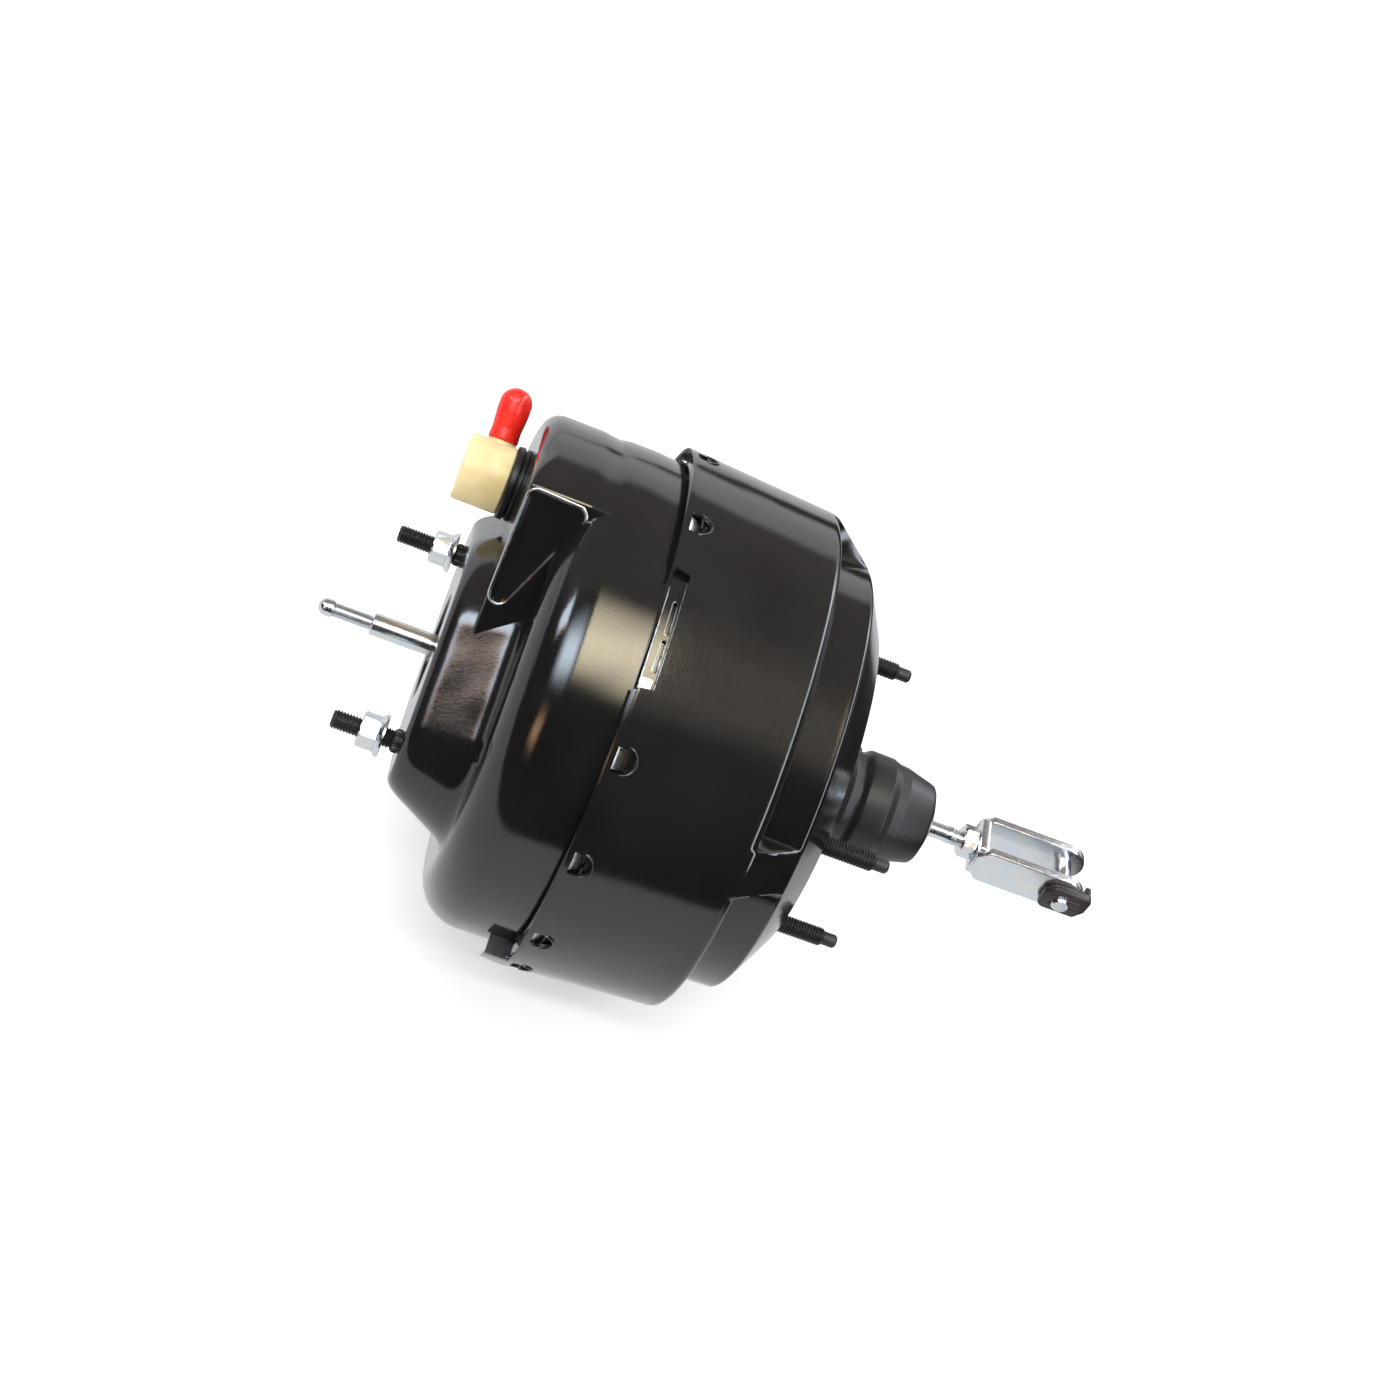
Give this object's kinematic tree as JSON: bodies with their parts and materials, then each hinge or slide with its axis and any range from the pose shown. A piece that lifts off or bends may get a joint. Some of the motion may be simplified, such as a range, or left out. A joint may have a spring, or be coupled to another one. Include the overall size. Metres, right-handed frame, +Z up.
{
  "type": "brake booster",
  "caption": "Tandem vacuum brake booster: two stamped shells, check valve with cap, output rod, booted input rod with clevis, and mounting studs.",
  "frame": {"origin": "centre of the rear mounting face, on the booster axis", "axes": "+X along the booster axis towards the pedal, +Z up on the car, Y across the car"},
  "size_m": [0.3491, 0.228, 0.228],
  "materials": {
    "black_enamel": "gloss",
    "plated_steel": "satin",
    "zinc": "bright",
    "spring_steel": "satin",
    "black_phosphate": "matt",
    "rubber": "semi-matt",
    "phenolic": "matt",
    "nylon": "satin",
    "red_vinyl": "gloss",
    "clip_plastic": "satin",
    "filter_felt": "matt"
  },
  "bodies": {
    "housing": {"rear_shell": "black_enamel", "front_shell": "black_enamel", "centre_plate": "plated_steel", "centre_seal": "rubber", "rear_seal": "rubber", "front_seal": "rubber", "seal_retainer": "plated_steel", "front_reinforcement": "plated_steel", "rear_reinforcement": "plated_steel", "front_studs": "black_phosphate", "front_nuts": "zinc", "rear_studs": "black_phosphate", "check_valve_grommet": "rubber"},
    "power_piston": {"valve_body": "phenolic", "front_plate": "plated_steel", "front_plate_ring": "plated_steel", "front_diaphragm": "rubber", "rear_plate": "plated_steel", "rear_plate_ring": "plated_steel", "rear_diaphragm": "rubber", "return_spring": "spring_steel", "reaction_disc": "rubber", "output_rod": "zinc", "output_rod_tip": "zinc", "stop_key": "plated_steel", "poppet_valve": "rubber", "poppet_spring": "spring_steel", "poppet_retainer": "plated_steel", "air_filter": "filter_felt", "air_silencer": "filter_felt", "boot": "rubber"},
    "valve_plunger": {"plunger": "zinc"},
    "input_link": {"input_rod": "zinc", "jam_nut": "zinc", "clevis": "zinc", "clevis_pin": "zinc", "pin_clip": "clip_plastic", "valve_return_spring": "spring_steel"},
    "check_valve": {"check_valve_body": "nylon", "check_valve_spring": "spring_steel"},
    "valve_disc": {"check_valve_disc": "rubber"},
    "nipple_cap": {"hose_cap": "red_vinyl"}
  },
  "joints": [
    {"name": "piston_stroke", "type": "slide", "parent": "housing", "child": "power_piston", "axis": [-1, 0, 0], "range_m": [0, 0.03], "stiffness_N_per_m": 1500, "springref_m": -0.05, "deforming": ["return_spring", "front_diaphragm", "rear_diaphragm", "boot"]},
    {"name": "valve_travel", "type": "slide", "parent": "power_piston", "child": "valve_plunger", "axis": [-1, 0, 0], "range_m": [0, 0.0015], "stiffness_N_per_m": 4000, "springref_m": -0.004, "deforming": ["valve_return_spring", "poppet_valve", "poppet_spring"]},
    {"name": "rod_swivel", "type": "hinge", "parent": "valve_plunger", "child": "input_link", "pos_m": [-0.012, 0, 0], "axis": [0, 1, 0], "range_deg": [-3, 3], "stiffness_Nm_per_rad": 3, "deforming": ["air_filter", "air_silencer"]},
    {"name": "check_valve_turn", "type": "hinge", "parent": "housing", "child": "check_valve", "pos_m": [-0.17, 0.0524, 0.0524], "axis": [1, 0, 0], "range_deg": [-90, 90]},
    {"name": "valve_disc_lift", "type": "slide", "parent": "check_valve", "child": "valve_disc", "axis": [-1, 0, 0], "range_m": [0, 0.0012], "stiffness_N_per_m": 200, "springref_m": -0.002, "deforming": ["check_valve_spring"]},
    {"name": "cap_pull", "type": "slide", "parent": "check_valve", "child": "nipple_cap", "axis": [0, 0.7071, 0.7071], "range_m": [0, 0.03]}
  ]
}
